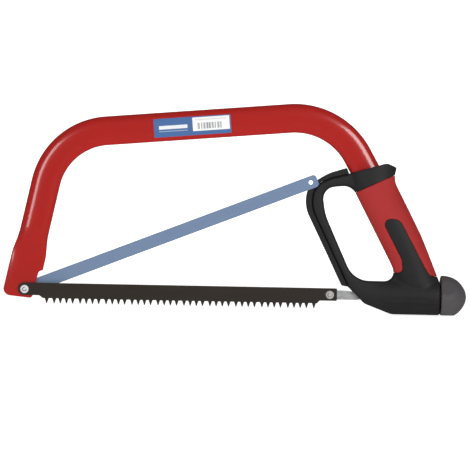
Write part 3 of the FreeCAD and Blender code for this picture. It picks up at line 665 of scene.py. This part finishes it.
def shapeHandle():
    outline = grip["crease"] + grip["guardRest"]
    hole = outlinePlate("handHole", grip["hand"], -through, through, 10)
    guard = outlinePlate("guard", outline, -grip["guardHalf"], grip["guardHalf"], 10)
    carve(guard, "DIFFERENCE", hole, keepTool=True)
    roundRims(guard, grip["guardRound"])
    body = joined("handleBody", gripLoft("gripBody", 0, 0), baseLoft("base", 0), guard)
    melt(body, grip["voxel"], 6)
    reach = outlinePlate("reach", grip["side"], -through, through, 8)
    carve(reach, "UNION", outlinePlate("guardReach", outline, -through, through, 8))
    carve(body, "INTERSECT", reach)
    carve(body, "DIFFERENCE", hole)
    melt(body, grip["voxel"], 3)
    ledge = baseLoft("ledge", grip["ledgeRise"])
    carve(ledge, "INTERSECT", outlinePlate("ledgeRoom", grip["ledge"], -through, through, 4))
    carve(body, "UNION", ledge)
    print("handle body melted:", len(body.data.polygons), "faces")
    zone = outlinePlate("skinZone", grip["skin"], -through, through)
    carve(zone, "DIFFERENCE", outlinePlate("tongueZone", grip["tongue"], -through - 1, through + 1))
    carve(zone, "DIFFERENCE", gripLoft("gripCore", grip["edgeDeep"], grip["skinDeep"]))
    skin = copyOf(body, "redSkin")
    smaller = copyOf(zone, "skinTool")  # leaves a groove all round the skin
    editing(smaller)
    bpy.ops.mesh.select_all(action="SELECT")
    bpy.ops.transform.shrink_fatten(value=-grip["groove"] * mm)
    bpy.ops.object.mode_set(mode="OBJECT")
    carve(skin, "INTERSECT", smaller)
    carve(body, "DIFFERENCE", zone)
    return body, skin


def finishHandle():
    body, skin = shapeHandle()
    barRoom = outlinePlate("barRoom", rectangle(*grip["barRoom"]), -grip["barHalf"], grip["barHalf"])
    rodRoom = bore("rodRoom", (grip["rodStart"], 0, 0), (grip["rodEnd"], 0, 0), grip["rodHalf"])
    carve(body, "DIFFERENCE", barRoom)
    carve(body, "DIFFERENCE", rodRoom)
    for x, z in grip["screws"]:
        carve(body, "DIFFERENCE", bore("screwWell", (x, grip["wellFrom"], z), (x, grip["wellTo"], z),
                                       grip["wellHalf"], 24))
    for name, nodeName, side in [("handleFront", "handle_front", -1), ("handleBack", "handle_back", 1)]:
        half = copyOf(body, name)
        near = side * grip["seam"]
        carve(half, "INTERSECT", outlinePlate("halfRoom", rectangle(200, -60, 500, 200), near, side * 40))
        # the rim is eased, so that the seam reads as a line
        bevelRims(half, lambda y: abs(y - near) < 0.001, 0.9, offset=grip["seamEdge"] * mm, segments=2)
        smoothAll(half, 40)
        wear(half, "root", blackNylon, nodeName)
        print(name, "ready:", len(half.data.polygons), "faces")
    bpy.data.objects.remove(body)
    melt(skin, grip["skinVoxel"], 4)
    smoothAll(skin, 60)
    wear(skin, "root", redRubber, "soft_grip")
    print("red skin ready:", len(skin.data.polygons), "faces")


def shapeKnob():  # a dome with three soft lobes
    knob = {"profile": [(408.35, 20.4), (408.9, 20.9), (410.5, 21), (413.3, 20.75), (417, 20.1),
                        (420.5, 18.9), (423.7, 17.2), (426.5, 15), (429, 12.3), (431.2, 9), (432.8, 5.6),
                        (433.6, 2.6), (433.75, 0.6)],
            "flat": 18, "lobe": 21, "lobesMiddle": 420, "lobesLong": 60, "voxel": 0.8,
            "roomFrom": 405, "roomTo": 409.6, "roomHalf": 9.2}
    dome = ovalLoft("knobDome", [((x, 0, 0), radius, radius) for x, radius in knob["profile"]],
                    (0, math.radians(90), 0), 72)
    startFresh()
    bpy.ops.mesh.primitive_cylinder_add(vertices=3, radius=2 * knob["flat"] * mm, depth=knob["lobesLong"] * mm,
                                        location=at(knob["lobesMiddle"], 0, 0),
                                        rotation=(math.radians(90), 0, math.radians(90)))
    lobes = settled("knobLobes")
    editing(lobes)
    pick(lobes, "EDGE", lambda edge: abs(edge.verts[0].co.x - edge.verts[1].co.x) > knob["lobesLong"] / 2 * mm)
    bpy.ops.mesh.bevel(segments=20, **roundArc(math.radians(30), 2 * knob["flat"] - knob["lobe"]))
    tidyShell()
    carve(dome, "INTERSECT", lobes)  # leaves three lobes between three flats
    melt(dome, knob["voxel"], 5)
    room = bore("knobRoom", (knob["roomFrom"], 0, 0), (knob["roomTo"], 0, 0), knob["roomHalf"], 48)
    carve(dome, "DIFFERENCE", room)
    smoothAll(dome, 40)
    wear(dome, "knob", knobPlastic, "knob_body")
    print("knob ready:", len(dome.data.polygons), "faces")


shapeLabel(shapeBow())
finishHandle()
shapeBumper()
shapeKnob()


def studio():
    light = {"keyPower": 8, "rightPower": 17, "frontPower": 6, "world": 0.15, "away": 2.2, "paper": 0.74,
             "sheet": 9, "wallBack": 4.4, "wallUp": 4, "gap": 0.0004}
    world = bpy.data.worlds.new("studioWorld")
    bpy.context.scene.world = world
    world.use_nodes = True
    world.node_tree.nodes["Background"].inputs["Color"].default_value = (1, 1, 1, 1)
    world.node_tree.nodes["Background"].inputs["Strength"].default_value = light["world"]
    middle = Vector((0, 0, 0.1))

    def softbox(name, place, wide, tall, power, roll=0):  # aimed at the middle of the saw
        bpy.ops.object.light_add(type="AREA", location=place)
        lamp = bpy.context.object
        lamp.name = name
        lamp.data.shape, lamp.data.size, lamp.data.size_y, lamp.data.energy = "RECTANGLE", wide, tall, power
        aimed = (middle - Vector(place)).to_track_quat("-Z", "Y")
        lamp.rotation_mode = "QUATERNION"
        lamp.rotation_quaternion = aimed @ Quaternion((0, 0, 1), math.radians(roll))
        return lamp

    def aside(side, off, climb):  # so many degrees off the camera's line, at some climb round it
        off, climb = math.radians(off), math.radians(climb)
        return middle + light["away"] * Vector((side * math.sin(off) * math.cos(climb), -math.cos(off),
                                                math.sin(off) * math.sin(climb)))

    softbox("leftBox", aside(-1, 30, 20), 0.4, 0.8, light["keyPower"], -20)
    softbox("rightBox", aside(1, 32, 30), 0.7, 0.8, light["rightPower"], 30)
    fill = softbox("frontPanel", (0.1, -2.2, 1.1), 1.6, 1.2, light["frontPower"])
    fill.visible_glossy = False  # it opens the shade and leaves no glare on the flat sides
    paper = Finish("whitePaper", Roughness=0.9, Emission_Strength=light["paper"])
    paper.drive("Base Color", paper.blend(paper.grain(40, 3), (0.82, 0.82, 0.82, 1), (0.86, 0.86, 0.86, 1)))
    paper.drive("Emission Color", (1, 1, 1, 1))
    for name, turn, place in [("paperFloor", 0, (0, 0, cadBox[0].z - light["gap"])),
                              ("paperWall", math.radians(90), (0, light["wallBack"], light["wallUp"]))]:
        startFresh()
        bpy.ops.mesh.primitive_plane_add(size=1, location=place, rotation=(turn, 0, 0))
        bpy.context.object.scale = (light["sheet"], light["sheet"], 1)
        sheet = settled(name)
        sheet.data.materials.append(paper.material)
        sheet.visible_glossy = False  # leaves the bow's rims dark


def photographer():
    view = {"lens": 200, "sensor": 36, "seenWide": 0.4619, "aimX": -0.0008, "aimZ": 0.075, "roll": 1.1}
    distance = view["seenWide"] * view["lens"] / view["sensor"]
    bpy.ops.object.camera_add(location=(view["aimX"], -distance, view["aimZ"]),
                              rotation=(math.radians(90), -math.radians(view["roll"]), 0))
    camera = bpy.context.object
    camera.data.lens, camera.data.sensor_width = view["lens"], view["sensor"]
    camera.data.clip_start, camera.data.clip_end = 0.05, 60
    bpy.context.scene.camera = camera
    bpy.context.scene.view_settings.view_transform = "Standard"


studio()
photographer()
print("studio and camera ready")
